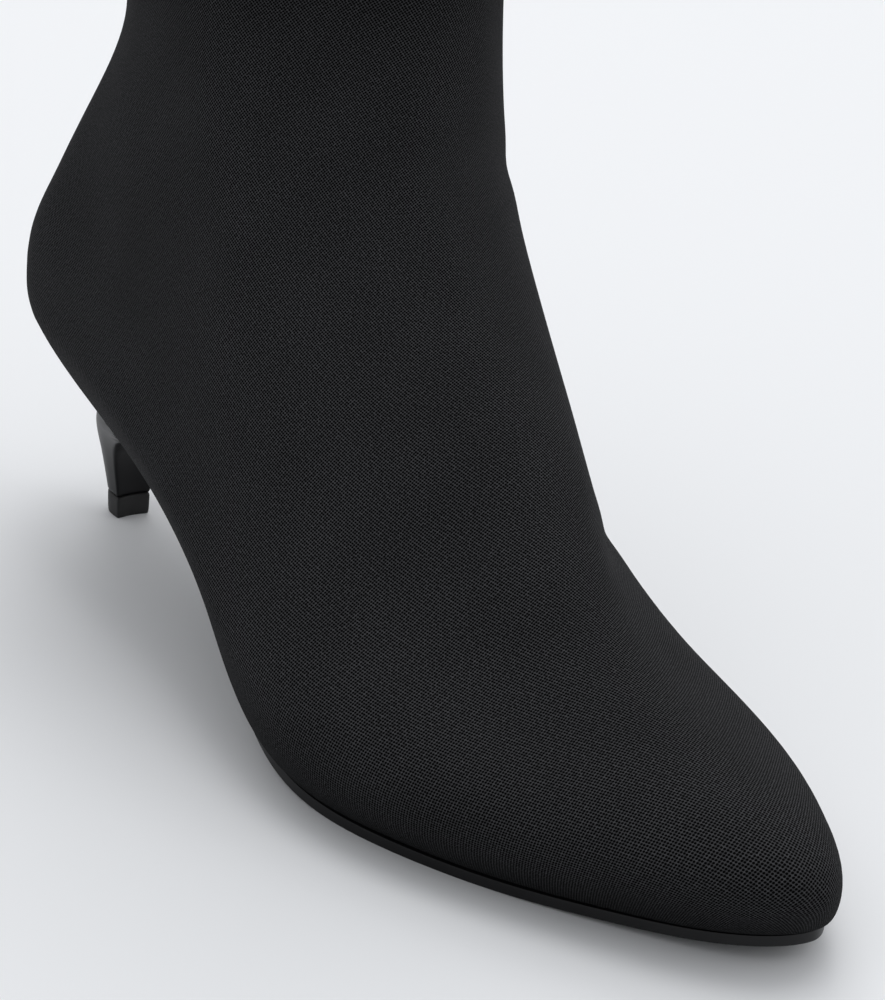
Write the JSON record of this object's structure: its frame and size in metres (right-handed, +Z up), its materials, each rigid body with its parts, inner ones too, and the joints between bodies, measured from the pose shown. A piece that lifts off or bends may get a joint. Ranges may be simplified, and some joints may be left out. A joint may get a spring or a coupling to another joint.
{
  "type": "sock boot",
  "caption": "Women's right ankle sock boot with a stretch-knit upper, pointed-almond toe, thin black sole and a low slender covered heel.",
  "frame": {"origin": "Middle of the flat wearing face under the heel tip, on the floor", "axes": "+X from the heel to the toe, +Y to the inner side of the foot, +Z up"},
  "size_m": [0.2423, 0.0874, 0.1914],
  "materials": {
    "knit": "fine matte stretch knit",
    "sock_lining": "smooth satin",
    "sole_edge": "waxed satin edge",
    "heel_cover": "smooth glossy",
    "tip_rubber": "matte"
  },
  "bodies": {
    "root": {"upper": "knit", "insole": "sock_lining", "outsole": "sole_edge", "heel": "heel_cover", "top_piece": "tip_rubber"}
  },
  "joints": []
}
